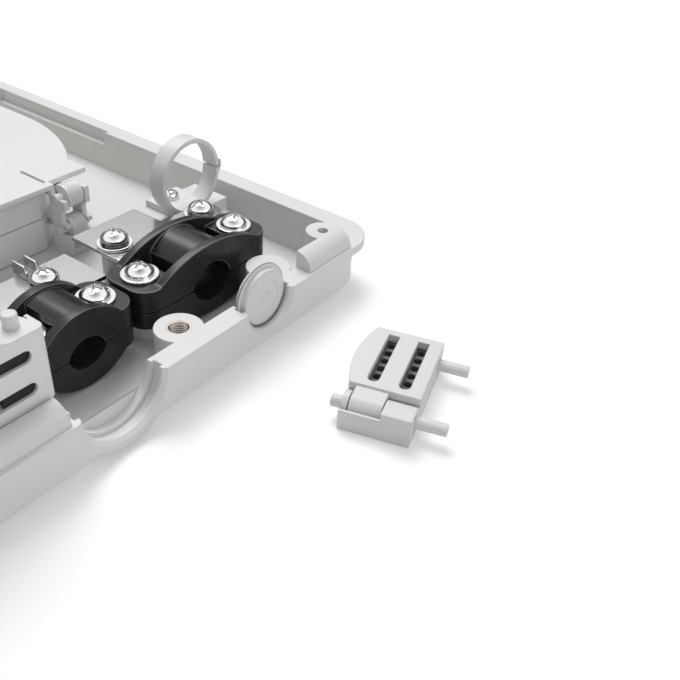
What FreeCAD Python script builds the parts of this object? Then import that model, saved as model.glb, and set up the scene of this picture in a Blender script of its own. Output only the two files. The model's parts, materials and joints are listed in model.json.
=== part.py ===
# Fibre optic distribution box, open: base with its cable entries, clamps, trays and port modules.
# Frame: origin at the middle of the flat back, +Z away from the back, the cable entries face -Y.
import FreeCAD, Part
import math
import os
import re
import Sketcher

doc = FreeCAD.newDocument("distribution_box")
sizes = doc.addObject("Spreadsheet::Sheet", "sizes")

DRIVING = {
    "base_width": 200,  # over the rim flange
    "base_length": 290,  # cable entry wall to far rim
    "base_height": 15.5,  # back to parting plane
    "base_floor": 2.5,  # thickness
    "base_wall": 2.5,  # side and far walls
    "entry_wall": 6,  # cable entry wall
    "rim_reach": 4,  # flange beyond the wall
    "rim_depth": 2.5,  # flange thickness
    "rim_round": 11,  # plan corner of the flange
    "wall_round": 14,  # plan corner of the walls outside
    "inner_round": 5,  # plan corner inside
    "inner_draft": 8,  # slope of the inner walls, degrees
    "foot_bevel": 4.0,  # bevel round the back
    "boss_radius": 6.2,  # lid screw boss at the entries
    "corner_boss_radius": 5.1,  # lid screw boss in a corner
    "corner_boss_inset": 13,  # from the port wall and the rim edge
    "corner_boss_side": 11,  # from the rim edge
    "boss_pilot": 1.6,  # radius of a moulded screw hole
    "boss_root": 0.2,  # corner boss below the floor's face
    "pilot_depth": 11,  # moulded screw hole
    "overrun": 1,  # how far a cut runs past a face
    "insert_boss_x": 26,  # boss with the brass insert
    "blind_boss_x": 62.6,  # boss behind the blanked entry
    "boss_setback": 9.6,  # boss axis behind the entry face
    "blind_boss_setback": 11.9,  # boss axis behind the entry face
    "insert_radius": 3.0,  # brass insert, outside
    "insert_bore": 2.35,  # brass insert, tapped bore
    "insert_length": 9,  # brass insert
    "entry_large_x": 50,  # blanked entry
    "entry_small_x": 0.6,  # open entry
    "entry_large_radius": 8.3,  # blanked entry, lip
    "entry_small_radius": 11.5,  # open entry, lip
    "entry_skin": 3.0,  # wall of the half round bulge
    "entry_lip": 2.0,  # lip thickness along the wall
    "entry_groove": 2.6,  # groove width between the lips
    "entry_groove_depth": 1.0,  # groove below the lips
    "entry_bevel": 1.0,  # flare at the mouth
    "plug_clearance": 0.2,  # plug to entry, radial and along
    "plug_step": 0.3,  # front disc ahead of the flange
    "sill_radius": 5,  # quarter round ridge on the entry wall
    "sill_setback": 1,  # ridge behind the entry face
    "sill_right_start": 67.5,  # right ridge
    "sill_right_length": 19,  # right ridge
    "sill_left_end": -13.2,  # left ridge, right end
    "sill_left_length": 71,  # left ridge
    "seat_length": 68,  # seat of the port modules
    "seat_depth": 10.5,  # seat of the port modules
    "wall_hole_radius": 2.6,  # wall fixing hole
    "wall_hole_side": 16,  # wall fixing, from the base's side
    "wall_hole_setback": 70.5,  # wall fixing, front pair behind the entry face
    "wall_hole_inset": 27,  # wall fixing, rear pair from the far rim
    "latch_length": 62,  # recess for the cover's catch
    "latch_depth": 1.5,  # recess into the rim
    "latch_drop": 4.5,  # recess below the rim
    "clamp_setback": 29.4,  # clamp screw axes behind the entry face
    "clamp_depth": 17,  # front to back
    "clamp_split": 12.9,  # parting plane of the clamps
    "clamp_gap": 0.3,  # between the two halves
    "clamp_ledge": 6.4,  # upper half, at the screws
    "clamp_foot": 4.9,  # lower half, at the screws
    "clamp_crown": 11.6,  # arched flange above the parting plane
    "clamp_sole": 9.6,  # arched flange below the parting plane
    "clamp_flange": 2.4,  # arched flange thickness
    "clamp_end": 6.5,  # end beyond a screw axis
    "clamp_end_round": 5.5,  # plan corner of a clamp end
    "clamp_pocket": 2.2,  # web left under the side pockets
    "clamp_land": 5.4,  # flat round a screw
    "large_bore": 7.3,  # radius of a half's bore
    "large_spread": 17.85,  # screw axis from the bore
    "small_bore": 5.85,  # radius of a half's bore
    "small_spread": 10.3,  # screw axis from the bore
    "clamp_offset": 6.7,  # small clamp from the middle of its entry
    "bore_lap": 1.75,  # centre of a half's bore past the parting plane
    "hump_radius": 11,  # saddle's round top about the parting plane
    "large_hump": 8.5,  # half width of the saddle
    "small_hump": 5.0,  # half width of the saddle
    "post_radius": 4.7,  # moulded post under a clamp
    "nut_radius": 2.9,  # brass insert in a post
    "nut_length": 4.6,  # brass insert in a post
    "screw_radius": 2.0,  # shank
    "screw_clearance": 0.25,  # shank to a plain hole
    "thread_depth": 6,  # shank in its post
    "thread_clearance": 0.03,  # shank to its thread
    "head_radius": 3.8,  # screw head
    "head_height": 2.7,  # screw head
    "head_rim": 0.9,  # upright edge of a screw head
    "recess_reach": 1.9,  # cross recess, half length
    "recess_width": 0.8,  # cross recess
    "recess_depth": 1.3,  # cross recess
    "ring_head": 2.6,  # head of the ring's screw
    "washer_radius": 5.0,  # clamp washer
    "washer_thick": 0.9,  # clamp washer
    "lock_radius": 3.9,  # spring washer
    "lock_thick": 0.9,  # spring washer
    "lock_slit": 0.7,  # gap in a spring washer
    "plate_thick": 1.2,  # bonding plates
    "plate_level": 17.0,  # top of the large plate
    "plate_left_reach": 14,  # large plate, left edge from the blanked entry
    "plate_right_reach": 27,  # large plate, right edge from the blanked entry
    "plate_setback": 39.4,  # large plate behind the entry face
    "plate_depth": 21.9,  # large plate, wide part
    "plate_neck_reach": 9,  # large plate, narrow part from the blanked entry
    "plate_neck_depth": 10.4,  # large plate, narrow part
    "plate_screw_near": 8.8,  # large plate, left screw from the blanked entry
    "plate_screw_far": 19.9,  # large plate, right screw from the blanked entry
    "plate_screw_inset": 5.0,  # large plate, right screw from its front edge
    "plate_screw_deep": 10,  # large plate, left screw from its front edge
    "strip_level": 14.2,  # top of the small plate
    "strip_left_reach": 22.3,  # small plate, left edge from the small clamp
    "strip_right_reach": 24.5,  # small plate, right edge from the small clamp
    "strip_setback": 42.5,  # small plate behind the entry face
    "strip_depth": 17,  # small plate
    "strip_screw_near": 11.2,  # small plate, terminal's screw from the small clamp
    "strip_screw_far": 14.8,  # small plate, second screw from the small clamp
    "plate_post": 4.0,  # radius of a moulded post under a plate
    "tongue_radius": 3.9,  # crimp terminal
    "tongue_thick": 0.8,  # crimp terminal
    "barrel_start": 3.6,  # crimp barrel from the screw
    "barrel_length": 6.5,  # crimp barrel
    "barrel_width": 4.4,  # crimp barrel
    "barrel_height": 3.9,  # crimp barrel
    "ring_side": 25.5,  # guide ring axis, from the base's side
    "ring_setback": 52,  # guide ring behind the entry face
    "ring_radius": 11.8,  # guide ring, outside
    "ring_band": 1.3,  # guide ring, wall
    "ring_width": 5.5,  # guide ring, along its axis
    "ring_rest": 13,  # top of the ring's post
    "ring_gap": 0.8,  # slit of the ring
    "ring_lap": 1.0,  # lip outside the slit
    "ring_tab_width": 13,  # foot of the ring
    "ring_tab_depth": 8.5,  # foot of the ring behind the band
    "ring_tab_thick": 2,  # foot of the ring
    "ring_post_reach": 10.5,  # ring's post, left side from the ring's axis
    "ring_post_width": 25.5,  # ring's post
    "tray_x": 10.5,  # middle of the trays
    "tray_setback": 82,  # straight front of a tray behind the entry face
    "tray_radius": 53,  # round sides of a tray
    "tray_nose": 43,  # straight front to the centre of the front rounds
    "tray_flank": 78,  # centre of the front rounds to the rear one
    "tray_height": 10,  # one tray
    "tray_lift": 0.3,  # under a tray
    "tray_skin": 1.5,  # tray walls and floor
    "hub_radius": 17,  # fibre former
    "hub_wall": 1.4,  # fibre former
    "hub_height": 6.5,  # fibre former above the tray floor
    "cover_radius": 60,  # tray cover
    "cover_thick": 1.8,  # tray cover
    "cover_reach": 4.5,  # tray cover ahead of the tray
    "cover_shoulder": 1.8,  # tray cover ahead of the tray, beside the hinges
    "cover_nose": 33.8,  # half width of the straight front
    "cover_ear": 47.5,  # half width at the hinges
    "cover_slot": 0.8,  # snap slit in the cover
    "cover_slit": 11,  # length of a snap slit
    "hinge_offset": 37.5,  # hinge middle from the trays' middle
    "hinge_reach": 5.5,  # hinge axis ahead of the tray
    "hinge_drop": 2.4,  # hinge axis below a tray's top
    "knuckle_radius": 3.6,  # tray knuckle
    "knuckle_length": 5.2,  # tray knuckle
    "knuckle_root": 8,  # web of a knuckle under the tray
    "hinge_pin": 1.3,  # radius of a knuckle's pin
    "hinge_fit": 0.08,  # pin in its hook
    "arm_thick": 1.7,  # hook
    "arm_gap": 0.35,  # hook to knuckle
    "arm_front": 3.6,  # hook ahead of the axis
    "arm_rear": 3.4,  # hook behind the axis
    "arm_crest": 2.4,  # front of a hook above the axis
    "arm_heel": 2.2,  # rear of a hook above the axis
    "arm_lean": 0.9,  # slope of a hook's lips
    "foot_thick": 2,  # foot of a hinge bracket
    "comb_length": 40,  # splice holder
    "comb_depth": 22,  # splice holder
    "comb_height": 5,  # splice holder
    "comb_slots": 6,  # splice holder
    "comb_slot": 2.6,  # splice holder
    "module_width": 33,  # port module
    "module_height": 18,  # port module, along its pins
    "module_thick": 8.5,  # port module
    "module_arch": 2.4,  # rise of the curved top edge
    "module_plate": 2.2,  # slotted halves
    "module_wall": 1.9,  # walls round the seal
    "module_skin": 0.8,  # outer skin behind the hinge
    "hinge_sink": 0.6,  # hinge below the module's inner face
    "panel_rise": 1.2,  # end panel above the hinge axis
    "module_gap": 0.3,  # between moving faces
    "module_x": -28,  # fitted module, middle
    "module_setback": 6.8,  # fitted module behind the entry face
    "module_base": 19.6,  # fitted module, underside
    "barrel_radius": 3.4,  # module hinge
    "block_height": 7.6,  # lower hinge block
    "collar_height": 1.6,  # upper hinge collar
    "peg_radius": 1.6,  # long pins
    "peg_length": 8,  # long pins
    "peg_short": 3.1,  # short pin
    "peg_clearance": 0.1,  # long pin in its seat
    "peg_fit": 0.05,  # pin in the door
    "slot_width": 3.0,  # module slots
    "slot_inset": 2.2,  # module slots from the module's side
    "slot_length": 20.4,  # module slots
    "row_low": 5.0,  # seal holes, lower row
    "row_high": 13.0,  # seal holes, upper row
    "hole_pitch": 3.4,  # seal holes
    "hole_count": 6,  # seal holes in a row
    "hole_radius": 1.15,  # seal holes
    "loose_x": 56.9,  # module on the table
    "loose_ahead": 44.6,  # module on the table, before the entry face
    "loose_turn": 197,  # module on the table, degrees
}

for row, (alias, number) in enumerate(DRIVING.items(), start=1):
    sizes.set(f"A{row}", alias)
    sizes.set(f"B{row}", str(number))
    sizes.setAlias(f"B{row}", alias)
doc.recompute()

DERIVED = {
    "entry_face": "-base_length/2",
    "inside": "base_width/2 - rim_reach - base_wall",
    "far_inside": "base_length/2 - rim_reach - base_wall",
    "corner_boss_x": "base_width/2 - corner_boss_side",
    "corner_boss_y": "base_length/2 - corner_boss_inset",
    "insert_boss_y": "entry_face + boss_setback",
    "blind_boss_y": "entry_face + blind_boss_setback",
    "wall_hole_x": "base_width/2 - wall_hole_side",
    "wall_hole_front": "entry_face + wall_hole_setback",
    "wall_hole_rear": "base_length/2 - wall_hole_inset",
    "clamp_y": "entry_face + clamp_setback",
    "large_clamp_x": "entry_large_x",
    "small_clamp_x": "entry_small_x + clamp_offset",
    "ledge_top": "clamp_split + clamp_ledge",
    "ledge_foot": "clamp_split - clamp_foot",
    "plate_left": "entry_large_x - plate_left_reach",
    "plate_right": "entry_large_x + plate_right_reach",
    "plate_front": "entry_face + plate_setback",
    "plate_back": "plate_front + plate_depth",
    "plate_neck_x": "entry_large_x + plate_neck_reach",
    "plate_neck_y": "plate_front + plate_neck_depth",
    "plate_screw_left": "entry_large_x - plate_screw_near",
    "plate_screw_right": "entry_large_x + plate_screw_far",
    "plate_screw_front": "plate_front + plate_screw_inset",
    "plate_screw_rear": "plate_front + plate_screw_deep",
    "strip_left": "small_clamp_x - strip_left_reach",
    "strip_right": "small_clamp_x + strip_right_reach",
    "strip_front": "entry_face + strip_setback",
    "strip_back": "strip_front + strip_depth",
    "strip_screw_x": "small_clamp_x + strip_screw_near",
    "strip_rest_x": "small_clamp_x - strip_screw_far",
    "strip_screw_y": "strip_front + strip_depth/2",
    "ring_x": "base_width/2 - ring_side",
    "ring_y": "entry_face + ring_setback",
    "ring_axis_z": "ring_rest + ring_radius",
    "ring_back": "ring_y + ring_width + ring_tab_depth",
    "ring_screw_y": "ring_y + ring_width + ring_tab_depth/2",
    "ring_post_left": "ring_x - ring_post_reach",
    "tray_front": "entry_face + tray_setback",
    "tray_centre_front": "tray_front + tray_nose",
    "tray_centre_rear": "tray_centre_front + tray_flank",
    "lower_tray": "base_floor + tray_lift",
    "upper_tray": "base_floor + 2*tray_lift + tray_height",
    "cover_level": "base_floor + 2*tray_lift + 2*tray_height",
    "cover_front": "tray_front - cover_reach",
    "cover_step": "tray_front - cover_shoulder",
    "hinge_y": "tray_front - hinge_reach",
    "upper_axis": "cover_level - hinge_drop",
    "lower_axis": "lower_tray + tray_height - hinge_drop",
    "axis_x": "module_width/2 - module_skin - module_gap - barrel_radius",
    "axis_y": "module_thick - hinge_sink - barrel_radius",
    "block_top": "module_thick - hinge_sink",
    "door_edge": "axis_x - barrel_radius - module_gap",
    "module_y": "entry_face + module_setback",
    "loose_y": "entry_face - loose_ahead",
}
DERIVED_NAME = re.compile(r"\b(" + "|".join(DERIVED) + r")\b")
TOUCH = 0.01
PLANES = {"z": "XY_Plane", "y": "XZ_Plane", "x": "YZ_Plane"}
NODES = {}


def linked(text, owner="sizes"):
    """Turns the plain names of an expression into references to the sheet, derived ones first."""
    while DERIVED_NAME.search(text):
        text = DERIVED_NAME.sub(lambda found: f"({DERIVED[found.group()]})", text)
    return re.sub(r"\b([a-z][a-z_]+)\b(?!\()", owner + r".\1", text)


def value(text):
    """Returns the present number of an expression."""
    found = sizes.evalExpression(linked(text, ""))
    return float(getattr(found, "Value", found))


def bind(item, prop, text):
    """Binds one property of an object to an expression on the sheet."""
    item.setExpression(prop, linked(text))


def new_body(name):
    """Starts a sub-part made of sketches and features."""
    body = doc.addObject("PartDesign::Body", name)
    body.AllowCompound = True
    body.Label = name
    NODES[name] = body
    return body


def new_sketch(body, axis, at, shift=("0", "0")):
    """Adds a sketch across an axis, at a place along it, moved in its plane."""
    sketch = body.newObject("Sketcher::SketchObject", body.Name + "_outline")
    plane = [o for o in body.Origin.OriginFeatures if o.Role == PLANES[axis]][0]
    sketch.AttachmentSupport = [(plane, "")]
    sketch.MapMode = "FlatFace"
    for prop, text in zip("xyz", (*shift, f"-({at})" if axis == "y" else at)):
        bind(sketch, f"AttachmentOffset.Base.{prop}", text)
    return sketch


def fix_point(sketch, geometry, end, place):
    """Ties a point of a sketch to expressions measured from its origin."""
    for kind, text in zip(("DistanceX", "DistanceY"), place):
        index = sketch.addConstraint(Sketcher.Constraint(kind, -1, 1, geometry, end, value(text)))
        bind(sketch, f"Constraints[{index}]", text)


def add_circle(sketch, x, y, radius):
    """Adds a circle whose centre and radius follow the sheet."""
    centre = FreeCAD.Vector(value(x), value(y), 0)
    index = sketch.addGeometry(Part.Circle(centre, FreeCAD.Vector(0, 0, 1), value(radius)))
    fix_point(sketch, index, 3, (x, y))
    size = sketch.addConstraint(Sketcher.Constraint("Radius", index, value(radius)))
    bind(sketch, f"Constraints[{size}]", radius)


def arc_between(start, end, radius, side):
    """Makes the short arc from one point to another, bulging left (1) or right (-1) of the way."""
    chord = end - start
    half = chord.Length / 2
    radius = max(radius, half + TOUCH/100)
    left = FreeCAD.Vector(-chord.y, chord.x, 0).normalize()
    centre = start + chord * 0.5 - left * side * math.sqrt(radius ** 2 - half ** 2)
    middle = centre + left * side * radius
    return Part.Arc(start, middle, end)


def add_outline(sketch, points):
    """Adds a closed outline. A point is (x, y), or (x, y, radius, side) where an arc leaves it."""
    corners = [FreeCAD.Vector(value(p[0]), value(p[1]), 0) for p in points]
    first = sketch.GeometryCount
    ends = []
    for number, point in enumerate(points):
        start, end = corners[number], corners[(number + 1) % len(points)]
        if len(point) == 2:
            index = sketch.addGeometry(Part.LineSegment(start, end))
            ends.append((index, 1, 2))
            continue
        index = sketch.addGeometry(arc_between(start, end, value(point[2]), point[3]))
        ends.append((index, 2, 1) if point[3] > 0 else (index, 1, 2))
    for number, (index, head, _) in enumerate(ends):
        before = ends[number - 1]
        sketch.addConstraint(Sketcher.Constraint("Coincident", before[0], before[2], index, head))
        fix_point(sketch, index, head, points[number][:2])
    for number, point in enumerate(points):
        if len(point) > 2:
            size = sketch.addConstraint(Sketcher.Constraint("Radius", first + number, value(point[2])))
            bind(sketch, f"Constraints[{size}]", point[2])


def rectangle(left, right, low, high):
    """Returns the corners of a rectangle."""
    return [(left, low), (right, low), (right, high), (left, high)]


def rounded(left, right, low, high, radius):
    """Returns a rectangle with round corners, anticlockwise from its lower left side."""
    return [(f"{left} + {radius}", low), (f"{right} - {radius}", low, radius, -1),
            (right, f"{low} + {radius}"), (right, f"{high} - {radius}", radius, -1),
            (f"{right} - {radius}", high), (f"{left} + {radius}", high, radius, -1),
            (left, f"{high} - {radius}"), (left, f"{low} + {radius}", radius, -1)]


def extrude(body, axis, at, length, outlines=(), circles=(), cut=False, shift=("0", "0")):
    """Pads or cuts outlines from a place along an axis, towards its positive end."""
    sketch = new_sketch(body, axis, at, shift)
    for outline in outlines:
        add_outline(sketch, outline)
    for circle in circles:
        add_circle(sketch, *circle)
    kind = "PartDesign::Pocket" if cut else "PartDesign::Pad"
    feature = body.newObject(kind, body.Name + ("_cut" if cut else "_pad"))
    feature.Profile = sketch
    bind(feature, "Length", length)
    feature.Reversed = (axis == "y") != cut
    return feature


def revolve(body, outline, axis, at, shift, cut=False):
    """Turns an outline about the upright axis of its sketch."""
    sketch = new_sketch(body, axis, at, shift)
    add_outline(sketch, outline)
    kind = "PartDesign::Groove" if cut else "PartDesign::Revolution"
    feature = body.newObject(kind, body.Name + ("_groove" if cut else "_turned"))
    feature.Profile = sketch
    feature.ReferenceAxis = (sketch, ["V_Axis"])
    feature.Angle = 360
    return feature


def edges_where(feature, test):
    """Lists the names of a feature's edges that pass a test."""
    doc.recompute()
    return [f"Edge{n}" for n, edge in enumerate(feature.Shape.Edges, start=1) if test(edge)]


def dress(body, kind, feature, size, test):
    """Rounds or bevels the edges of a feature that pass a test."""
    made = body.newObject(f"PartDesign::{kind}", f"{body.Name}_{kind.lower()}")
    made.Base = (feature, edges_where(feature, test))
    bind(made, "Radius" if kind == "Fillet" else "Size", size)
    return made


def upright(edge):
    """Tells whether an edge stands along Z."""
    box = edge.BoundBox
    return box.XLength < TOUCH and box.YLength < TOUCH


def level_at(height):
    """Makes a test for edges that lie flat at one height."""
    return lambda edge: abs(edge.BoundBox.ZMin - height) < TOUCH and edge.BoundBox.ZLength < TOUCH


def base_shell():
    """The moulded base: tray, rim flange, cable entries, bosses, posts and seats."""
    body = new_body("base_shell")
    side = "base_width/2 - rim_reach"
    back = "base_length/2 - rim_reach"
    block = extrude(body, "z", "0", "base_height", [rectangle(f"-({side})", side, "entry_face", back)])
    block = dress(body, "Fillet", block, "wall_round", upright)
    dress(body, "Chamfer", block, "foot_bevel", level_at(0))
    flange = extrude(body, "z", "base_height - rim_depth", "rim_depth",
                     [rectangle("-base_width/2", "base_width/2", "entry_face", "base_length/2")])
    reach = value("base_width/2") - TOUCH
    dress(body, "Fillet", flange, "rim_round",
          lambda edge: upright(edge) and abs(edge.BoundBox.XMin) > reach)
    cavity = extrude(body, "z", "base_height", "base_height - base_floor",
                     [rounded("-inside", "inside", "entry_face + entry_wall", "far_inside", "inner_round")],
                     cut=True)
    cavity.Reversed = False
    bind(cavity, "TaperAngle", "-inner_draft")
    for x, radius in (("entry_large_x", "entry_large_radius"), ("entry_small_x", "entry_small_radius")):
        skin = f"{radius} + entry_skin"
        extrude(body, "y", "entry_face", "entry_wall",
                [[(f"{x} - ({skin})", "base_height", skin, -1),
                  (x, f"base_height - ({skin})", skin, -1), (f"{x} + {skin}", "base_height")]])
    bosses()
    seats()
    entries(body)
    bores(body)
    return body


def bosses():
    """Screw bosses for the lid, and the posts under the clamps, plates and ring."""
    body = NODES["base_shell"]
    rise = "base_height - base_floor/2"
    for boss in (("insert_boss_x", "insert_boss_y", "boss_radius"),
                 ("blind_boss_x", "blind_boss_y", "boss_radius")):
        extrude(body, "z", "base_floor/2", rise, circles=[boss])
    for x, y in corner_spots():
        extrude(body, "z", "base_floor - boss_root", "base_height - base_floor + boss_root",
                circles=[(x, y, "corner_boss_radius")])
    spots = clamp_spots("large") + clamp_spots("small")
    extrude(body, "z", "base_floor/2", "ledge_foot - base_floor/2",
            circles=[(x, y, "post_radius") for x, y in spots])
    extrude(body, "z", "base_floor/2", "plate_level - plate_thick - base_floor/2",
            circles=[(x, y, "plate_post") for x, y in plate_spots()])
    extrude(body, "z", "base_floor/2", "strip_level - plate_thick - base_floor/2",
            circles=[(x, "strip_screw_y", "plate_post") for x in ("strip_screw_x", "strip_rest_x")])
    extrude(body, "z", "base_floor/2", "ring_rest - base_floor/2",
            [rectangle("ring_post_left", "ring_post_left + ring_post_width", "ring_y", "ring_back")])


def seats():
    """The quarter round ridges on the entry wall and the seat behind the left one."""
    body = NODES["base_shell"]
    ridge = [("entry_face + sill_setback", "base_height", "sill_radius", 1),
             ("entry_face + sill_setback + sill_radius", "base_height + sill_radius"),
             ("entry_face + sill_setback + sill_radius", "base_height - sill_setback"),
             ("entry_face + sill_setback", "base_height - sill_setback")]
    extrude(body, "x", "sill_right_start", "sill_right_length", [ridge])
    extrude(body, "x", "sill_left_end - sill_left_length", "sill_left_length", [ridge])
    extrude(body, "z", "base_floor/2", "module_base - base_floor/2",
            [rectangle("sill_left_end - seat_length", "sill_left_end", "entry_face + entry_wall - overrun",
                       "entry_face + entry_wall + seat_depth")])


def entries(body):
    """The two half round cable entries, each with a groove between two lips."""
    for x, radius in (("entry_large_x", "entry_large_radius"), ("entry_small_x", "entry_small_radius")):
        groove = f"{radius} + entry_groove_depth"
        mouth = [("0", "-entry_bevel"), (f"{radius} + 2*entry_bevel", "-entry_bevel"),
                 (radius, "entry_bevel"), (radius, "entry_lip"), (groove, "entry_lip"),
                 (groove, "entry_lip + entry_groove"), (radius, "entry_lip + entry_groove"),
                 (radius, "entry_wall + entry_bevel"), ("0", "entry_wall + entry_bevel")]
        revolve(body, mouth, "z", "base_height", (x, "entry_face"), cut=True)


def bores(body):
    """Screw holes, insert holes, wall fixing holes, pin holes and the catch recess."""
    extrude(body, "z", "base_height - insert_length", "insert_length",
            circles=[("insert_boss_x", "insert_boss_y", "insert_radius")], cut=True)
    pilots = [(x, y, "boss_pilot") for x, y in [("blind_boss_x", "blind_boss_y")] + corner_spots()]
    extrude(body, "z", "base_height - pilot_depth", "pilot_depth", circles=pilots, cut=True)
    spots = clamp_spots("large") + clamp_spots("small")
    extrude(body, "z", "ledge_foot - nut_length", "nut_length",
            circles=[(x, y, "nut_radius") for x, y in spots], cut=True)
    for level, spots in (("plate_level", plate_spots()),
                         ("strip_level", [("strip_screw_x", "strip_screw_y"),
                                          ("strip_rest_x", "strip_screw_y")])):
        extrude(body, "z", f"{level} - plate_thick - pilot_depth + 2*overrun", "pilot_depth",
                circles=[(x, y, "screw_radius + thread_clearance") for x, y in spots], cut=True)
    extrude(body, "z", "ring_rest - ring_tab_depth", "ring_tab_depth",
            circles=[("ring_x", "ring_screw_y", "boss_pilot")], cut=True)
    extrude(body, "z", "-overrun", "base_floor + 2*overrun",
            circles=[(f"{sx}wall_hole_x", y, "wall_hole_radius")
                     for sx in ("-", "") for y in ("wall_hole_front", "wall_hole_rear")], cut=True)
    steps = ("", " - module_width - overrun")
    spots = [f"module_x {sign} axis_x{step}" for step in steps for sign in ("-", "+")]
    extrude(body, "z", "module_base - peg_length - overrun/2", "peg_length + overrun",
            circles=[(x, "module_y + axis_y", "peg_radius + peg_clearance") for x in spots], cut=True)
    extrude(body, "z", "base_height - latch_drop", "latch_drop",
            [rectangle("inside - overrun", "inside + latch_depth", "-latch_length/2", "latch_length/2")],
            cut=True)


def corner_spots():
    """Returns the places of the four corner bosses."""
    return [(f"{sx}corner_boss_x", f"{sy}corner_boss_y") for sx in ("-", "") for sy in ("-", "")]


def clamp_spots(size):
    """Returns the two screw places of a clamp."""
    return [(f"{size}_clamp_x {sign} {size}_spread", "clamp_y") for sign in ("-", "+")]


def plate_spots():
    """Returns the two screw places of the large bonding plate."""
    return [("plate_screw_left", "plate_screw_rear"), ("plate_screw_right", "plate_screw_front")]


def clamp_half(size, upper):
    """One black half of a cable clamp: ledges, two arched flanges and a saddle round the bore."""
    name = f"{size}_clamp_{'upper' if upper else 'lower'}"
    body = new_body(name)
    centre = f"{size}_clamp_x"
    end = f"({size}_spread + clamp_end)"
    front, back = "clamp_y - clamp_depth/2", "clamp_y + clamp_depth/2"
    start = "clamp_split + clamp_gap/2" if upper else "ledge_foot"
    rise = "clamp_ledge - clamp_gap/2" if upper else "clamp_foot - clamp_gap/2"
    block = extrude(body, "z", start, rise,
                    [rectangle(f"{centre} - {end}", f"{centre} + {end}", front, back)])
    dress(body, "Fillet", block, "clamp_end_round", upright)
    edge = "ledge_top" if upper else "ledge_foot"
    inner = "clamp_ledge" if upper else "clamp_foot"
    crown = "clamp_crown" if upper else "clamp_sole"
    rise = f"({crown} - {inner})"
    half = f"({end} - clamp_end_round)"
    bend = f"({half}^2 + {rise}^2)/(2*{rise})"
    root = f"clamp_split + {inner}/2" if upper else f"clamp_split - {inner}/2"
    side = 1 if upper else -1
    arch = [(f"{centre} - {half}", edge, bend, side), (f"{centre} + {half}", edge),
            (f"{centre} + {half}", root), (f"{centre} - {half}", root)]
    for at in (front, f"{back} - clamp_flange"):
        extrude(body, "y", at, "clamp_flange", [arch])
    sign = "+" if upper else "-"
    round_top = "hump_radius" if upper else "clamp_sole"
    near = f"clamp_split {sign} clamp_gap/2"
    shoulder = f"clamp_split {sign} sqrt({round_top}^2 - {size}_hump^2)"
    hump = [(f"{centre} - {size}_hump", near), (f"{centre} - {size}_hump", shoulder, round_top, side),
            (f"{centre} + {size}_hump", shoulder), (f"{centre} + {size}_hump", near)]
    extrude(body, "y", front, "clamp_depth", [hump])
    if upper and size == "large":
        for low, high in ((f"{centre} - large_spread + clamp_land", f"{centre} - large_hump"),
                          (f"{centre} + large_hump", f"{centre} + large_spread - clamp_land")):
            extrude(body, "z", "clamp_split + clamp_pocket", "clamp_crown",
                    [rectangle(low, high, f"{front} + clamp_flange", f"{back} - clamp_flange")], cut=True)
    middle = f"clamp_split {'-' if upper else '+'} bore_lap"
    extrude(body, "y", f"{front} - overrun", "clamp_depth + 2*overrun",
            circles=[(centre, middle, f"{size}_bore")], cut=True)
    extrude(body, "z", "ledge_foot - overrun", "clamp_foot + clamp_ledge + 2*overrun",
            circles=[(x, y, "screw_radius + screw_clearance") for x, y in clamp_spots(size)], cut=True)


def screws(name, spots, seat, length, radius="screw_radius", head="head_radius"):
    """Cross recess screws: one turned solid for each place, recess cut in the domed heads."""
    body = new_body(name)
    dome = "(head_height - head_rim)"
    bend = f"({head}^2 + {dome}^2)/(2*{dome})"
    turned = [("0", f"-({length})"), (radius, f"-({length})"), (radius, "0"), (head, "0"),
              (head, "head_rim", bend, -1), ("0", "head_height")]
    for x, y in spots:
        revolve(body, turned, "y", y, (x, seat))
    cross = []
    for x, y in spots:
        cross.append(rectangle(f"{x} - recess_reach", f"{x} + recess_reach",
                               f"{y} - recess_width/2", f"{y} + recess_width/2"))
    extrude(body, "z", f"{seat} + head_height - recess_depth", "head_height", cross, cut=True)
    cross = []
    for x, y in spots:
        cross.append(rectangle(f"{x} - recess_width/2", f"{x} + recess_width/2",
                               f"{y} - recess_reach", f"{y} + recess_reach"))
    extrude(body, "z", f"{seat} + head_height - recess_depth", "head_height", cross, cut=True)


def washers(name, spots, seat, thick, radius, slit=False):
    """Flat or split washers, one for each place."""
    body = new_body(name)
    extrude(body, "z", seat, thick, circles=[(x, y, radius) for x, y in spots])
    extrude(body, "z", f"{seat} - overrun", f"{thick} + 2*overrun",
            circles=[(x, y, "screw_radius + screw_clearance/2") for x, y in spots], cut=True)
    if slit:
        extrude(body, "z", f"{seat} - overrun", f"{thick} + 2*overrun",
                [rectangle(f"{x} - {radius} - overrun", x, f"{y} - lock_slit/2", f"{y} + lock_slit/2")
                 for x, y in spots], cut=True)


def inserts(name, spots, top, length, radius, bore):
    """Brass threaded inserts with a bevelled mouth, one for each place."""
    body = new_body(name)
    extrude(body, "z", f"{top} - {length}", length, circles=[(x, y, radius) for x, y in spots])
    extrude(body, "z", f"{top} - {length} - overrun", f"{length} + 2*overrun",
            circles=[(x, y, bore) for x, y in spots], cut=True)


def entry_plug():
    """The blank disc in the large entry: a flange in the groove and a stepped front."""
    body = new_body("entry_plug")
    body_radius = "(entry_large_radius - plug_clearance)"
    flange = "(entry_large_radius + entry_groove_depth - plug_clearance)"
    disc = [("0", "entry_lip - plug_step"), (body_radius, "entry_lip - plug_step"),
            (body_radius, "entry_lip + plug_clearance"), (flange, "entry_lip + plug_clearance"),
            (flange, "entry_lip + entry_groove - plug_clearance"),
            (body_radius, "entry_lip + entry_groove - plug_clearance"),
            (body_radius, "entry_wall - plug_clearance"), ("0", "entry_wall - plug_clearance")]
    revolve(body, disc, "z", "base_height", ("entry_large_x", "entry_face"))


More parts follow.
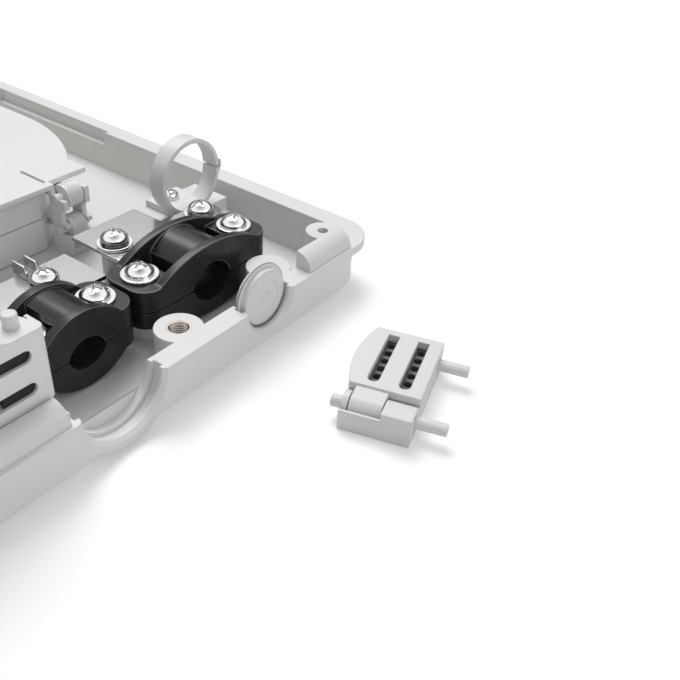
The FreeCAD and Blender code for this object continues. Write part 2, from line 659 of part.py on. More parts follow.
def plates():
    """The two bright bonding plates behind the clamps, and the crimp terminal on the small one."""
    body = new_body("bonding_plate_large")
    extrude(body, "z", "plate_level - plate_thick", "plate_thick",
            [[("plate_left", "plate_front"), ("plate_right", "plate_front"),
              ("plate_right", "plate_neck_y"), ("plate_neck_x", "plate_neck_y"),
              ("plate_neck_x", "plate_back"), ("plate_left", "plate_back")]])
    extrude(body, "z", "plate_level - 2*plate_thick", "3*plate_thick",
            circles=[(x, y, "screw_radius + screw_clearance") for x, y in plate_spots()], cut=True)
    body = new_body("bonding_plate_small")
    extrude(body, "z", "strip_level - plate_thick", "plate_thick",
            [rectangle("strip_left", "strip_right", "strip_front", "strip_back")])
    extrude(body, "z", "strip_level - 2*plate_thick", "3*plate_thick",
            circles=[(x, "strip_screw_y", "screw_radius + screw_clearance")
                     for x in ("strip_screw_x", "strip_rest_x")], cut=True)
    body = new_body("crimp_terminal")
    x, y = "strip_screw_x", "strip_screw_y"
    extrude(body, "z", "strip_level", "tongue_thick", circles=[(x, y, "tongue_radius")])
    half = "barrel_width/2"
    start = f"{y} + barrel_start"
    extrude(body, "z", "strip_level", "tongue_thick",
            [rectangle(f"{x} - {half}", f"{x} + {half}", y, f"{start} + barrel_length")])
    for at in (f"{x} - {half}", f"{x} + {half} - tongue_thick"):
        extrude(body, "x", at, "tongue_thick",
                [[(start, "strip_level"), (f"{start} + barrel_length", "strip_level"),
                  (f"{start} + barrel_length", "strip_level + barrel_height"),
                  (f"{start} + barrel_length/4", "strip_level + barrel_height")]])
    extrude(body, "z", "strip_level - overrun", "tongue_thick + 2*overrun",
            circles=[(x, y, "screw_radius + screw_clearance")], cut=True)


def guide_ring():
    """The slit cable guide ring, on a foot screwed to its post."""
    body = new_body("guide_ring")
    extrude(body, "y", "ring_y", "ring_width",
            circles=[("ring_x", "ring_axis_z", reach)
                     for reach in ("ring_radius", "ring_radius - ring_band")])
    extrude(body, "z", "ring_rest", "ring_tab_thick",
            [rectangle("ring_x - ring_tab_width/2", "ring_x + ring_tab_width/2", "ring_y", "ring_back")])
    lap = "(ring_axis_z - ring_gap/2)"
    outer = "ring_x + ring_radius"
    extrude(body, "y", "ring_y", "ring_width",
            [[(f"{outer} - ring_lap", f"{lap} - 3*ring_lap"), (f"{outer} + ring_lap", lap),
              (f"{outer} + ring_lap", "ring_axis_z + 2*ring_lap"),
              (f"{outer} + ring_gap/2", "ring_axis_z + 2*ring_lap"),
              (f"{outer} + ring_gap/2", lap), (f"{outer} - ring_band", lap)]])
    extrude(body, "y", "ring_y - overrun", "ring_width + 2*overrun",
            [rectangle("ring_x + ring_radius - 2*ring_band", "ring_x + ring_radius + ring_gap/2", lap,
                       f"{lap} + ring_gap")], cut=True)
    extrude(body, "z", "ring_rest - overrun", "ring_tab_thick + 2*overrun",
            circles=[("ring_x", "ring_screw_y", "screw_radius")], cut=True)


def tray_outline(radius, front, inset="0"):
    """A tray's plan: straight front, round sides, straight flanks and a round rear."""
    reach = f"({radius} - {inset})"
    cut = f"({front} + {inset})"
    half = f"sqrt({reach}^2 - ({cut} - tray_centre_front)^2)"
    right, left = f"tray_x + {reach}", f"tray_x - {reach}"
    return [(f"tray_x - {half}", cut), (f"tray_x + {half}", cut, reach, -1),
            (right, "tray_centre_front"), (right, "tray_centre_rear", reach, -1),
            ("tray_x", f"tray_centre_rear + {reach}", reach, -1), (left, "tray_centre_rear"),
            (left, "tray_centre_front", reach, -1)]


def splice_tray(name, level, axis_z):
    """A splice tray with two fibre formers, and knuckles with moulded pins at its front."""
    body = new_body(name)
    extrude(body, "z", level, "tray_height", [tray_outline("tray_radius", "tray_front")])
    extrude(body, "z", f"{level} + tray_skin", "tray_height",
            [tray_outline("tray_radius", "tray_front", "tray_skin")], cut=True)
    for y in ("tray_centre_front", "tray_centre_rear"):
        extrude(body, "z", f"{level} + tray_skin/2", "hub_height + tray_skin/2",
                circles=[("tray_x", y, "hub_radius"), ("tray_x", y, "hub_radius - hub_wall")])
    for sign in ("-", "+"):
        middle = f"tray_x {sign} hinge_offset"
        extrude(body, "x", f"{middle} - knuckle_length/2", "knuckle_length",
                circles=[("hinge_y", axis_z, "knuckle_radius")])
        extrude(body, "x", f"{middle} - knuckle_length/2", "knuckle_length",
                [rectangle("hinge_y", "tray_front + tray_skin/2 + knuckle_root", f"{axis_z} - tray_skin",
                           f"{axis_z} + tray_skin/2")])
        reach = "knuckle_length + 2*arm_thick + 5*arm_gap"
        extrude(body, "x", f"{middle} - ({reach})/2", reach, circles=[("hinge_y", axis_z, "hinge_pin")])


def hinge_brackets():
    """The two brackets in front of the trays, each with two hooks on two levels."""
    body = new_body("hinge_brackets")
    for sign in ("-", "+"):
        middle = f"tray_x {sign} hinge_offset"
        reach = "(knuckle_length/2 + arm_gap)"
        extrude(body, "z", "base_floor", "foot_thick",
                [rectangle(f"{middle} - {reach} - arm_thick", f"{middle} + {reach} + arm_thick",
                           "hinge_y - arm_front", "hinge_y + arm_rear")])
        ends = (f"{middle} - {reach} - arm_thick", f"{middle} + {reach}")
        for low, at in zip((sign == "+", sign == "-"), ends):
            extrude(body, "x", at, "arm_thick", [hook_outline(low)])


def hook_outline(low):
    """A hook seen from its side: a cup on top, open upwards, and one below that opens to the front."""
    slot = "(hinge_pin + hinge_fit)"
    front, rear = "hinge_y - arm_front", "hinge_y + arm_rear"
    crest, heel = "upper_axis + arm_crest", "upper_axis + arm_heel"
    lip = [(front, "upper_axis")] if low else [(f"hinge_y - {slot} - arm_lean", crest), (front, crest)]
    return [(front, "base_floor"), (rear, "base_floor"), (rear, heel),
            (f"hinge_y + {slot} + arm_lean", heel), (f"hinge_y + {slot}", "upper_axis", slot, 1),
            ("hinge_y", f"upper_axis - {slot}", slot, 1), (f"hinge_y - {slot}", "upper_axis"), *lip,
            (front, f"upper_axis - 2*{slot}"), (f"hinge_y - {slot}", f"upper_axis - 3*{slot}"),
            (f"hinge_y - {slot}", f"lower_axis + 2*{slot}"), (front, f"lower_axis + 2*{slot}"),
            (front, f"lower_axis + {slot}"), ("hinge_y", f"lower_axis + {slot}", slot, 1),
            (f"hinge_y + {slot}", "lower_axis", slot, 1), ("hinge_y", f"lower_axis - {slot}"),
            (front, f"lower_axis - {slot}")]


def tray_cover():
    """The flat cover clipped on the upper tray, stepped back beside the hinges."""
    body = new_body("tray_cover")
    half = "sqrt(cover_radius^2 - cover_ear^2)"
    shoulder = f"tray_centre_front - {half}"
    extrude(body, "z", "cover_level", "cover_thick",
            [[("tray_x - cover_nose", "cover_front"), ("tray_x + cover_nose", "cover_front"),
              ("tray_x + cover_nose", "cover_step"), ("tray_x + cover_ear", "cover_step"),
              ("tray_x + cover_ear", shoulder, "cover_radius", -1),
              ("tray_x + cover_radius", "tray_centre_front"),
              ("tray_x + cover_radius", "tray_centre_rear", "cover_radius", -1),
              ("tray_x", "tray_centre_rear + cover_radius", "cover_radius", -1),
              ("tray_x - cover_radius", "tray_centre_rear"),
              ("tray_x - cover_radius", "tray_centre_front", "cover_radius", -1),
              ("tray_x - cover_ear", shoulder), ("tray_x - cover_ear", "cover_step"),
              ("tray_x - cover_nose", "cover_step")]])
    spans = [("-", 1, 2), ("+", 2, 1)]
    slits = [rectangle(f"tray_x {sign} (cover_nose - {near}*cover_slot)",
                       f"tray_x {sign} (cover_nose - {far}*cover_slot)",
                       "cover_step", "cover_step + cover_slit") for sign, near, far in spans]
    extrude(body, "z", "cover_level - overrun", "cover_thick + 2*overrun", slits, cut=True)


def splice_holder(name, level):
    """The comb between the fibre formers that grips the splices."""
    body = new_body(name)
    middle = "(tray_centre_front + tray_centre_rear)/2"
    extrude(body, "z", f"{level} + tray_skin", "comb_height",
            [rectangle("tray_x - comb_length/2", "tray_x + comb_length/2",
                       f"{middle} - comb_depth/2", f"{middle} + comb_depth/2")])
    pitch = "(comb_depth/comb_slots)"
    grooves = [rectangle("tray_x - comb_length/2 - overrun", "tray_x + comb_length/2 + overrun",
                         f"{middle} - comb_depth/2 + {number + 0.5}*{pitch} - comb_slot/2",
                         f"{middle} - comb_depth/2 + {number + 0.5}*{pitch} + comb_slot/2")
               for number in range(int(value("comb_slots")))]
    extrude(body, "z", f"{level} + tray_skin + comb_height/3", "comb_height", grooves, cut=True)


def module_slots(body, at, length):
    """Cuts the two cable slots of a module half."""
    slots = []
    left = "-module_width/2 + slot_inset"
    bend = f"{left} + slot_length - slot_width/2"
    for row in ("row_low", "row_high"):
        low, high = f"{row} - slot_width/2", f"{row} + slot_width/2"
        slots.append([(left, low), (bend, low, "slot_width/2", -1),
                      (f"{left} + slot_length", row, "slot_width/2", -1), (bend, high), (left, high)])
    extrude(body, "y", at, length, slots, cut=True)


def module_face(right):
    """The outline of a module half seen from the front, with its curved top edge."""
    half = f"(({right} + module_width/2)/2)"
    bend = f"({half}^2 + module_arch^2)/(2*module_arch)"
    return [("-module_width/2", "0"), (right, "0"), (right, "module_height", bend, -1),
            ("-module_width/2", "module_height")]


def module_back(name):
    """The outer half: slotted plate, walls round the seal, hinge block, collar and far pin."""
    body = new_body(name)
    wall_top = "(module_thick - module_plate - module_gap)"
    right, edge = "door_edge", "module_width/2"
    extrude(body, "y", "0", wall_top, [module_face(right)])
    extrude(body, "y", "module_plate", "module_thick",
            [rectangle("-module_width/2 + module_wall", f"{right} - module_wall", "module_wall",
                       "module_height - module_wall")], cut=True)
    module_slots(body, "-overrun", "module_plate + 2*overrun")
    extrude(body, "y", "0", "module_skin", [rectangle(f"{right} - overrun", edge, "0", "module_height")])
    extrude(body, "x", f"{edge} - module_skin", "module_skin",
            [rectangle("0", "axis_y + panel_rise", "0", "module_height")])
    root = [(f"{right} - overrun/2", "axis_y"), (f"{right} - overrun/2", "0"), (edge, "0")]
    inner = [("axis_x", "block_top", "barrel_radius", -1), ("axis_x - barrel_radius", "axis_y")]
    extrude(body, "z", "0", "block_height", [[*root, (edge, "block_top"), *inner]])
    extrude(body, "z", "module_height - collar_height", "collar_height",
            [[*root, (edge, "axis_y"), ("axis_x + barrel_radius", "axis_y", "barrel_radius", -1), *inner]])
    extrude(body, "z", "-overrun", "module_height + 2*overrun",
            circles=[("axis_x", "axis_y", "peg_radius")], cut=True)
    extrude(body, "z", "-peg_length", "peg_length + module_wall",
            circles=[("-axis_x", "axis_y", "peg_radius")])
    return body


def module_door(name):
    """The inner half: slotted plate on a knuckle that turns on the pin."""
    body = new_body(name)
    extrude(body, "y", "module_thick - module_plate", "module_plate", [module_face("door_edge")])
    low, high = "block_height + module_gap", "module_height - collar_height - module_gap"
    extrude(body, "z", low, f"{high} - ({low})", circles=[("axis_x", "axis_y", "barrel_radius")])
    extrude(body, "z", low, f"{high} - ({low})",
            [rectangle("door_edge - overrun", "axis_x", "module_thick - module_plate", "block_top")])
    extrude(body, "z", "-overrun", "module_height + 2*overrun",
            circles=[("axis_x", "axis_y", "peg_radius + peg_fit")], cut=True)
    module_slots(body, "module_thick - module_plate - overrun", "module_plate + 2*overrun")
    return body


def module_seal(name):
    """The rubber block with two rows of holes for drop cables."""
    body = new_body(name)
    play = "module_gap/2"
    left, end = f"-module_width/2 + module_wall + {play}", f"door_edge - module_wall - {play}"
    extrude(body, "y", "module_plate", "module_thick - 2*module_plate - module_gap",
            [rectangle(left, end, f"module_wall + {play}", f"module_height - module_wall - {play}")])
    middle = "(-module_width/2 + door_edge)/2"
    steps = [number - value("(hole_count - 1)/2") for number in range(int(value("hole_count")))]
    holes = [(f"{middle} + {step}*hole_pitch", row, "hole_radius")
             for row in ("row_low", "row_high") for step in steps]
    extrude(body, "y", "module_plate - overrun", "module_thick", circles=holes, cut=True)
    return body


def module_pin(name):
    """The hinge pin, long below for the seat and short above."""
    body = new_body(name)
    extrude(body, "z", "-peg_length", "peg_length + module_height + peg_short",
            circles=[("axis_x", "axis_y", "peg_radius")])
    return body


def port_module(prefix):
    """One drop cable module, returned as its four pieces."""
    return [module_back(f"{prefix}_module_back"), module_door(f"{prefix}_module_door"),
            module_seal(f"{prefix}_module_seal"), module_pin(f"{prefix}_module_pin")]


def place_modules():
    """Stands one module in its seat and lays the other on the table with its inner side up."""
    for body in port_module("fitted"):
        bind(body, "Placement.Base.x", "module_x")
        bind(body, "Placement.Base.y", "module_y")
        bind(body, "Placement.Base.z", "module_base")
    lie = FreeCAD.Rotation(FreeCAD.Vector(0, 0, 1), value("loose_turn"))
    lie = lie.multiply(FreeCAD.Rotation(FreeCAD.Vector(1, 0, 0), 90))
    for body in port_module("loose"):
        body.Placement = FreeCAD.Placement(FreeCAD.Vector(value("loose_x"), value("loose_y"), 0), lie)


def build():
    """Makes every sub-part."""
    base_shell()
    entry_plug()
    inserts("lid_insert", [("insert_boss_x", "insert_boss_y")], "base_height", "insert_length",
            "insert_radius", "insert_bore")
    for size in ("large", "small"):
        spots = clamp_spots(size)
        clamp_half(size, False)
        clamp_half(size, True)
        washers(f"{size}_clamp_washers", spots, "ledge_top", "washer_thick", "washer_radius")
        screws(f"{size}_clamp_screws", spots, "(ledge_top + washer_thick)",
               "clamp_ledge + clamp_foot + washer_thick + nut_length")
        inserts(f"{size}_clamp_inserts", spots, "ledge_foot", "nut_length", "nut_radius",
                "screw_radius + thread_clearance")
    plates()
    spots = plate_spots()
    washers("plate_washers", spots, "plate_level", "washer_thick", "washer_radius")
    washers("plate_lock_washers", spots, "plate_level + washer_thick", "lock_thick", "lock_radius", True)
    screws("plate_screws", spots, "(plate_level + washer_thick + lock_thick)",
           "washer_thick + lock_thick + plate_thick + thread_depth")
    bonded = [("strip_screw_x", "strip_screw_y")]
    washers("terminal_washer", bonded, "strip_level + tongue_thick", "lock_thick", "lock_radius", True)
    screws("terminal_screw", bonded, "(strip_level + tongue_thick + lock_thick)",
           "tongue_thick + lock_thick + plate_thick + thread_depth")
    screws("strip_screw", [("strip_rest_x", "strip_screw_y")], "strip_level", "plate_thick + thread_depth")
    guide_ring()
    screws("ring_screw", [("ring_x", "ring_screw_y")],
           "(ring_rest + ring_tab_thick)", "ring_tab_thick + thread_depth", "boss_pilot - thread_clearance",
           "ring_head")
    hinge_brackets()
    splice_tray("splice_tray_lower", "lower_tray", "lower_axis")
    splice_tray("splice_tray_upper", "upper_tray", "upper_axis")
    splice_holder("splice_holder_lower", "lower_tray")
    splice_holder("splice_holder_upper", "upper_tray")
    tray_cover()
    place_modules()


def write_parts():
    """Checks every object and writes one file for each sub-part."""
    doc.recompute()
    failed = [o.Name for o in doc.Objects if {"Invalid", "Error"} & set(o.State)]
    if failed:
        raise RuntimeError("objects that failed: " + ", ".join(failed))
    for name, body in NODES.items():
        if body.Shape.isNull() or not body.Shape.isValid() or not body.Shape.Solids:
            raise RuntimeError(f"{name} has no valid solid")
    os.makedirs("parts", exist_ok=True)
    for name, body in NODES.items():
        body.Shape.exportStep(f"parts/{name}.step")
        print(name, len(body.Shape.Solids), round(body.Shape.Volume, 1))


build()
write_parts()
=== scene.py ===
import json
import logging
import math
from dataclasses import dataclass
from enum import Enum

import bpy
from mathutils import Matrix, Vector

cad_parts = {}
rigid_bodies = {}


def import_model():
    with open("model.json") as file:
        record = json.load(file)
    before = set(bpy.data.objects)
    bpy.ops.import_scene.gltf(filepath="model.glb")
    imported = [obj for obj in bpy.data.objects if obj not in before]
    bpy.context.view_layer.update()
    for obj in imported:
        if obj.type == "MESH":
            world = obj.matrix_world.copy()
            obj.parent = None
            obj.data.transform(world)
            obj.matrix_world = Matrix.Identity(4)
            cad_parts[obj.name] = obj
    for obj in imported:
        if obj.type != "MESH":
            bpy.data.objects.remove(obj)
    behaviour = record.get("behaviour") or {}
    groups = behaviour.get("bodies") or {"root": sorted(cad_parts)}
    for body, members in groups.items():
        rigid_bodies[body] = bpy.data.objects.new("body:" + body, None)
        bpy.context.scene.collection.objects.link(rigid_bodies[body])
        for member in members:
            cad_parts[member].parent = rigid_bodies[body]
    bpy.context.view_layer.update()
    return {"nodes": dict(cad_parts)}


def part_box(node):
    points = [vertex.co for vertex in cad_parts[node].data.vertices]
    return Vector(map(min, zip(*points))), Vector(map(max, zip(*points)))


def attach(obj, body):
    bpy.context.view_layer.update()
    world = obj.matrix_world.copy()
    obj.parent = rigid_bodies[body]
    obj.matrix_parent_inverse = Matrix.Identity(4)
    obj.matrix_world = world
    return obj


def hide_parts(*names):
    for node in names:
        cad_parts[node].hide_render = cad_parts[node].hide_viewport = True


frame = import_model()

MM = 0.001
MERGE = 0.002 * MM  # vertices closer than this are one
FLAT = math.radians(0.4)  # triangles that meet flatter than this are one face
ROUNDED = math.radians(32.0)  # edges sharper than this are rounded
SMOOTH = math.radians(38.0)  # edges flatter than this are shaded smooth on mouldings
TURNED_SMOOTH = math.radians(35.0)  # and on turned pieces
HEAD_ROUNDED = math.radians(40.0)  # edges of screw heads that are rounded
CLOUD_SPAN = (0.3, 0.7)  # noise values that the roughness runs over
SPECK_SPAN = (0.045, 0.02)  # distances at which a dust speck starts and is full
DUST = (0.6, 0.59, 0.57, 1.0)
LOG = logging.getLogger("distribution_box")
Colour = tuple[float, float, float]
Point = tuple[float, float, float]
Profile = list[tuple[float, float]]


class Body(Enum):
    """The moving groups that pieces ride on."""

    HOUSING = "housing"
    UPPER_TRAY = "upper_tray"
    LOOSE_DOOR = "loose_door"


class Slot(Enum):
    """The material slots of the record."""

    HOUSING = "housing"
    TRAY = "tray"
    CLAMP = "clamp"
    STEEL = "steel"
    PLATE = "plate"
    BRASS = "brass"
    RUBBER = "rubber"


def add_node(tree: bpy.types.NodeTree, kind: str, **values: object) -> bpy.types.Node:
    """Adds a shader node and sets its inputs by name.

    Args:
        tree: The node tree that gets the node.
        kind: The node's type without the ShaderNode prefix.
        values: Input values by socket name, with underscores for spaces.

    Returns:
        The new node.
    """
    node = tree.nodes.new("ShaderNode" + kind)
    for name, value in values.items():
        node.inputs[name.replace("_", " ")].default_value = value
    return node


def surface_group() -> bpy.types.NodeTree:
    """Makes the shared group that breaks up a surface: cloudy tint, dust specks, fine grain.

    Returns:
        The group, with Tint, Specks and Grain outputs.
    """
    group = bpy.data.node_groups.get("surface_breakup")
    if group:
        return group
    group = bpy.data.node_groups.new("surface_breakup", "ShaderNodeTree")
    for name in ("Grain Scale", "Cloud Scale", "Speck Scale"):
        group.interface.new_socket(name, in_out="INPUT", socket_type="NodeSocketFloat")
    for name in ("Tint", "Specks", "Grain"):
        group.interface.new_socket(name, in_out="OUTPUT", socket_type="NodeSocketFloat")
    inlet = group.nodes.new("NodeGroupInput")
    outlet = group.nodes.new("NodeGroupOutput")
    place = add_node(group, "TexCoord").outputs["Object"]
    cloud = add_node(group, "TexNoise", Detail=3.0, Roughness=0.55)
    grain = add_node(group, "TexNoise", Detail=2.0, Roughness=0.6)
    specks = add_node(group, "TexVoronoi", Randomness=1.0)
    for node, source in ((cloud, "Cloud Scale"), (grain, "Grain Scale"), (specks, "Speck Scale")):
        group.links.new(place, node.inputs["Vector"])
        group.links.new(inlet.outputs[source], node.inputs["Scale"])
    dots = add_node(group, "MapRange", From_Min=SPECK_SPAN[0], From_Max=SPECK_SPAN[1],
                    To_Min=0.0, To_Max=1.0)
    group.links.new(specks.outputs["Distance"], dots.inputs["Value"])
    group.links.new(cloud.outputs["Fac"], outlet.inputs["Tint"])
    group.links.new(dots.outputs["Result"], outlet.inputs["Specks"])
    group.links.new(grain.outputs["Fac"], outlet.inputs["Grain"])
    return group


@dataclass(frozen=True)
class Finish:
    """One surface finish, made a material once and then shared."""

    name: str
    colour: Colour
    shade: Colour  # the colour in the cloudy patches
    roughness: tuple[float, float]
    metallic: float = 0.0
    grain_scale: float = 2600.0
    grain: float = 0.06  # strength of the fine relief
    grain_depth: float = 0.1  # its height, in millimetres
    cloud_scale: float = 45.0
    speck_scale: float = 420.0
    speck: float = 0.25  # how far a dust speck covers the colour
    edge: float = 0.35  # radius of the softened edges, in millimetres
    edge_samples: int = 4
    specular: float = 0.5

    def material(self) -> bpy.types.Material:
        """Returns the finish's material, making it on first use."""
        made = bpy.data.materials.get(self.name)
        if made:
            return made
        made = bpy.data.materials.new(self.name)
        made.use_nodes = True
        tree = made.node_tree
        shader = tree.nodes["Principled BSDF"]
        shader.inputs["Metallic"].default_value = self.metallic
        shader.inputs["Specular IOR Level"].default_value = self.specular
        breakup = tree.nodes.new("ShaderNodeGroup")
        breakup.node_tree = surface_group()
        breakup.inputs["Grain Scale"].default_value = self.grain_scale
        breakup.inputs["Cloud Scale"].default_value = self.cloud_scale
        breakup.inputs["Speck Scale"].default_value = self.speck_scale
        self.link_colour(tree, shader, breakup)
        self.link_relief(tree, shader, breakup)
        return made

    def link_colour(self, tree: bpy.types.NodeTree, shader: bpy.types.Node,
                    breakup: bpy.types.Node) -> None:
        """Wires the colour and the roughness.

        Args:
            tree: The material's nodes.
            shader: The surface shader.
            breakup: The shared breakup group.
        """
        tint = add_node(tree, "Mix")
        tint.data_type = "RGBA"
        tint.inputs[6].default_value = (*self.colour, 1.0)
        tint.inputs[7].default_value = (*self.shade, 1.0)
        tree.links.new(breakup.outputs["Tint"], tint.inputs[0])
        dust = add_node(tree, "Math")
        dust.operation = "MULTIPLY"
        dust.inputs[1].default_value = self.speck
        tree.links.new(breakup.outputs["Specks"], dust.inputs[0])
        dusted = add_node(tree, "Mix")
        dusted.data_type = "RGBA"
        dusted.inputs[7].default_value = DUST
        tree.links.new(dust.outputs["Value"], dusted.inputs[0])
        tree.links.new(tint.outputs[2], dusted.inputs[6])
        tree.links.new(dusted.outputs[2], shader.inputs["Base Color"])
        rough = add_node(tree, "MapRange", From_Min=CLOUD_SPAN[0], From_Max=CLOUD_SPAN[1],
                         To_Min=self.roughness[0], To_Max=self.roughness[1])
        tree.links.new(breakup.outputs["Tint"], rough.inputs["Value"])
        tree.links.new(rough.outputs["Result"], shader.inputs["Roughness"])

    def link_relief(self, tree: bpy.types.NodeTree, shader: bpy.types.Node,
                    breakup: bpy.types.Node) -> None:
        """Wires the fine relief and the softened edges.

        Args:
            tree: The material's nodes.
            shader: The surface shader.
            breakup: The shared breakup group.
        """
        edge = add_node(tree, "Bevel", Radius=self.edge * MM)
        edge.samples = self.edge_samples
        bump = add_node(tree, "Bump", Strength=self.grain, Distance=self.grain_depth * MM)
        tree.links.new(edge.outputs["Normal"], bump.inputs["Normal"])
        tree.links.new(breakup.outputs["Grain"], bump.inputs["Height"])
        tree.links.new(bump.outputs["Normal"], shader.inputs["Normal"])


HOUSING_ABS = Finish("housing_abs", (0.72, 0.715, 0.70), (0.685, 0.68, 0.665), (0.36, 0.46), grain=0.10)
TRAY_ABS = Finish("tray_abs", (0.76, 0.755, 0.74), (0.73, 0.725, 0.71), (0.34, 0.44), grain=0.08)
BLACK_NYLON = Finish("black_nylon", (0.016, 0.016, 0.017), (0.023, 0.023, 0.025), (0.21, 0.30),
                     grain=0.16, cloud_scale=90.0, speck=0.10, edge=0.2, specular=0.3)
# A lighter copy of the black nylon for the clamps' rounded edges: a painted highlight along them.
NYLON_PAINTED_HIGHLIGHT = Finish("black_nylon_painted_highlight", (0.075, 0.075, 0.077), (0.11, 0.11, 0.113), (0.20, 0.28),
                    grain=0.16, cloud_scale=90.0, speck=0.10, edge=0.2)
PLATED_STEEL = Finish("plated_steel", (0.80, 0.81, 0.82), (0.70, 0.71, 0.73), (0.08, 0.16), metallic=1.0,
                      grain=0.03, cloud_scale=300.0, speck=0.05, edge=0.2)
SPRING_STEEL = Finish("spring_steel", (0.20, 0.195, 0.19), (0.13, 0.125, 0.12), (0.20, 0.34), metallic=1.0,
                      grain=0.05, cloud_scale=300.0, speck=0.05, edge=0.15)
BRIGHT_PLATE = Finish("bright_plate", (0.50, 0.50, 0.495), (0.43, 0.43, 0.425), (0.17, 0.25), metallic=1.0,
                      grain=0.08, cloud_scale=120.0, speck=0.05, edge=0.2)
BRASS = Finish("machined_brass", (0.72, 0.56, 0.28), (0.60, 0.45, 0.20), (0.22, 0.36), metallic=1.0,
               grain=0.06, cloud_scale=300.0, speck=0.1, edge=0.15)
RUBBER = Finish("seal_rubber", (0.11, 0.11, 0.115), (0.15, 0.15, 0.155), (0.45, 0.6), grain=0.15,
                cloud_scale=200.0, speck=0.15)
# The seal's lip in the lengthened slots: real rubber, but coloured near black, far darker than the seal
# rubber, as painted shade of the deep slots.
SEAL_LIP_PAINTED_SHADE = Finish("seal_lip_painted_shade", (0.016, 0.016, 0.017), (0.028, 0.028, 0.03), (0.5, 0.65), grain=0.15,
                  cloud_scale=200.0, speck=0.1, specular=0.2)
THREAD = Finish("thread_steel", (0.50, 0.46, 0.42), (0.38, 0.34, 0.30), (0.22, 0.36), metallic=1.0,
                grain=0.05, cloud_scale=400.0, speck=0.05, edge=0.05)


def deselect() -> None:
    """Deselects every object."""
    for other in bpy.context.view_layer.objects:
        other.select_set(False)


def alone(piece: bpy.types.Object) -> None:
    """Selects one object alone and makes it active.

    Args:
        piece: The object.
    """
    deselect()
    piece.select_set(True)
    bpy.context.view_layer.objects.active = piece


def finished(piece: bpy.types.Object, body: Body, finish: Finish) -> bpy.types.Object:
    """Dresses a new piece and ties it to the frame.

    Args:
        piece: The piece.
        body: The body that it rides on.
        finish: Its surface.

    Returns:
        The same piece.
    """
    if finish.name not in piece.data.materials:
        piece.data.materials.clear()
        piece.data.materials.append(finish.material())
    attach(piece, body.value)
    LOG.info("%s rides on %s", piece.name, body.value)
    return piece


def dress(node: str, finish: Finish) -> None:
    """Gives a node of the frame its surface.

    Args:
        node: The frame's node.
        finish: Its surface.
    """
    materials = frame["nodes"][node].data.materials
    materials.clear()
    materials.append(finish.material())


def copied(node: str) -> bpy.types.Object:
    """Copies a node and merges its triangles into plain faces.

    Args:
        node: The frame's node.

    Returns:
        The copy, selected alone.
    """
    source = frame["nodes"][node]
    piece = bpy.data.objects.new(node + "_moulded", source.data.copy())
    bpy.context.scene.collection.objects.link(piece)
    alone(piece)
    bpy.ops.object.mode_set(mode="EDIT")
    bpy.ops.mesh.select_all(action="SELECT")
    bpy.ops.mesh.remove_doubles(threshold=MERGE)
    bpy.ops.mesh.dissolve_limited(angle_limit=FLAT)
    bpy.ops.object.mode_set(mode="OBJECT")
    return piece


def cut_away(piece: bpy.types.Object, tool: bpy.types.Object) -> None:
    """Cuts a tool out of a piece and removes the tool.

    Args:
        piece: The piece that is cut.
        tool: The form that is taken away from it.
    """
    alone(piece)
    difference = piece.modifiers.new("cut", "BOOLEAN")
    difference.operation = "DIFFERENCE"
    difference.object = tool
    bpy.ops.object.modifier_apply(modifier=difference.name)
    bpy.data.objects.remove(tool)


def block(name: str, low: Point, high: Point) -> bpy.types.Object:
    """Makes a block between two corners given in millimetres.

    Args:
        name: The new object's name.
        low: The corner with the lowest values.
        high: The opposite corner.

    Returns:
        The block, with its place in its mesh.
    """
    deselect()
    middle = (Vector(low) + Vector(high)) / 2 * MM
    bpy.ops.mesh.primitive_cube_add(size=MM, location=(0, 0, 0))
    piece = bpy.context.object
    piece.name = name
    bpy.ops.object.mode_set(mode="EDIT")
    bpy.ops.mesh.select_all(action="SELECT")
    bpy.ops.transform.resize(value=Vector(high) - Vector(low), center_override=(0, 0, 0))
    bpy.ops.transform.translate(value=middle)
    bpy.ops.object.mode_set(mode="OBJECT")
    return piece


def soften(node: str, width: float, body: Body, finish: Finish,
           segments: int = 2, copy: bpy.types.Object | None = None,
           edge: Finish | None = None) -> bpy.types.Object:
    """Shows a copy of a node with rounded edges instead of the node.

    Args:
        node: The frame's node.
        width: How far each edge is rounded, in millimetres.
        body: The body that it rides on.
        finish: Its surface.
        segments: Steps across each rounded edge.
        copy: A copy that has been worked on, or none for a fresh one.
        edge: A lighter surface for the rounded edges, which paints a highlight along them, or none for the
            same one.

    Returns:
        The softened piece.
    """
    piece = copy or copied(node)
    alone(piece)
    piece.data.materials.clear()
    piece.data.materials.append(finish.material())
    rounding = piece.modifiers.new("rounding", "BEVEL")
    # The rounded edges take the second surface; on the clamps it is lighter nylon, a painted highlight.
    if edge:
        piece.data.materials.append(edge.material())
        rounding.material = 1
    rounding.width = width * MM
    rounding.segments = segments
    rounding.limit_method = "ANGLE"
    rounding.angle_limit = ROUNDED
    rounding.use_clamp_overlap = True
    rounding.miter_outer = "MITER_ARC"
    bpy.ops.object.modifier_apply(modifier=rounding.name)
    bpy.ops.object.shade_smooth_by_angle(angle=SMOOTH)
    flatness = piece.modifiers.new("flatness", "WEIGHTED_NORMAL")
    flatness.keep_sharp = True
    bpy.ops.object.modifier_apply(modifier=flatness.name)
    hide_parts(node)
    return finished(piece, body, finish)


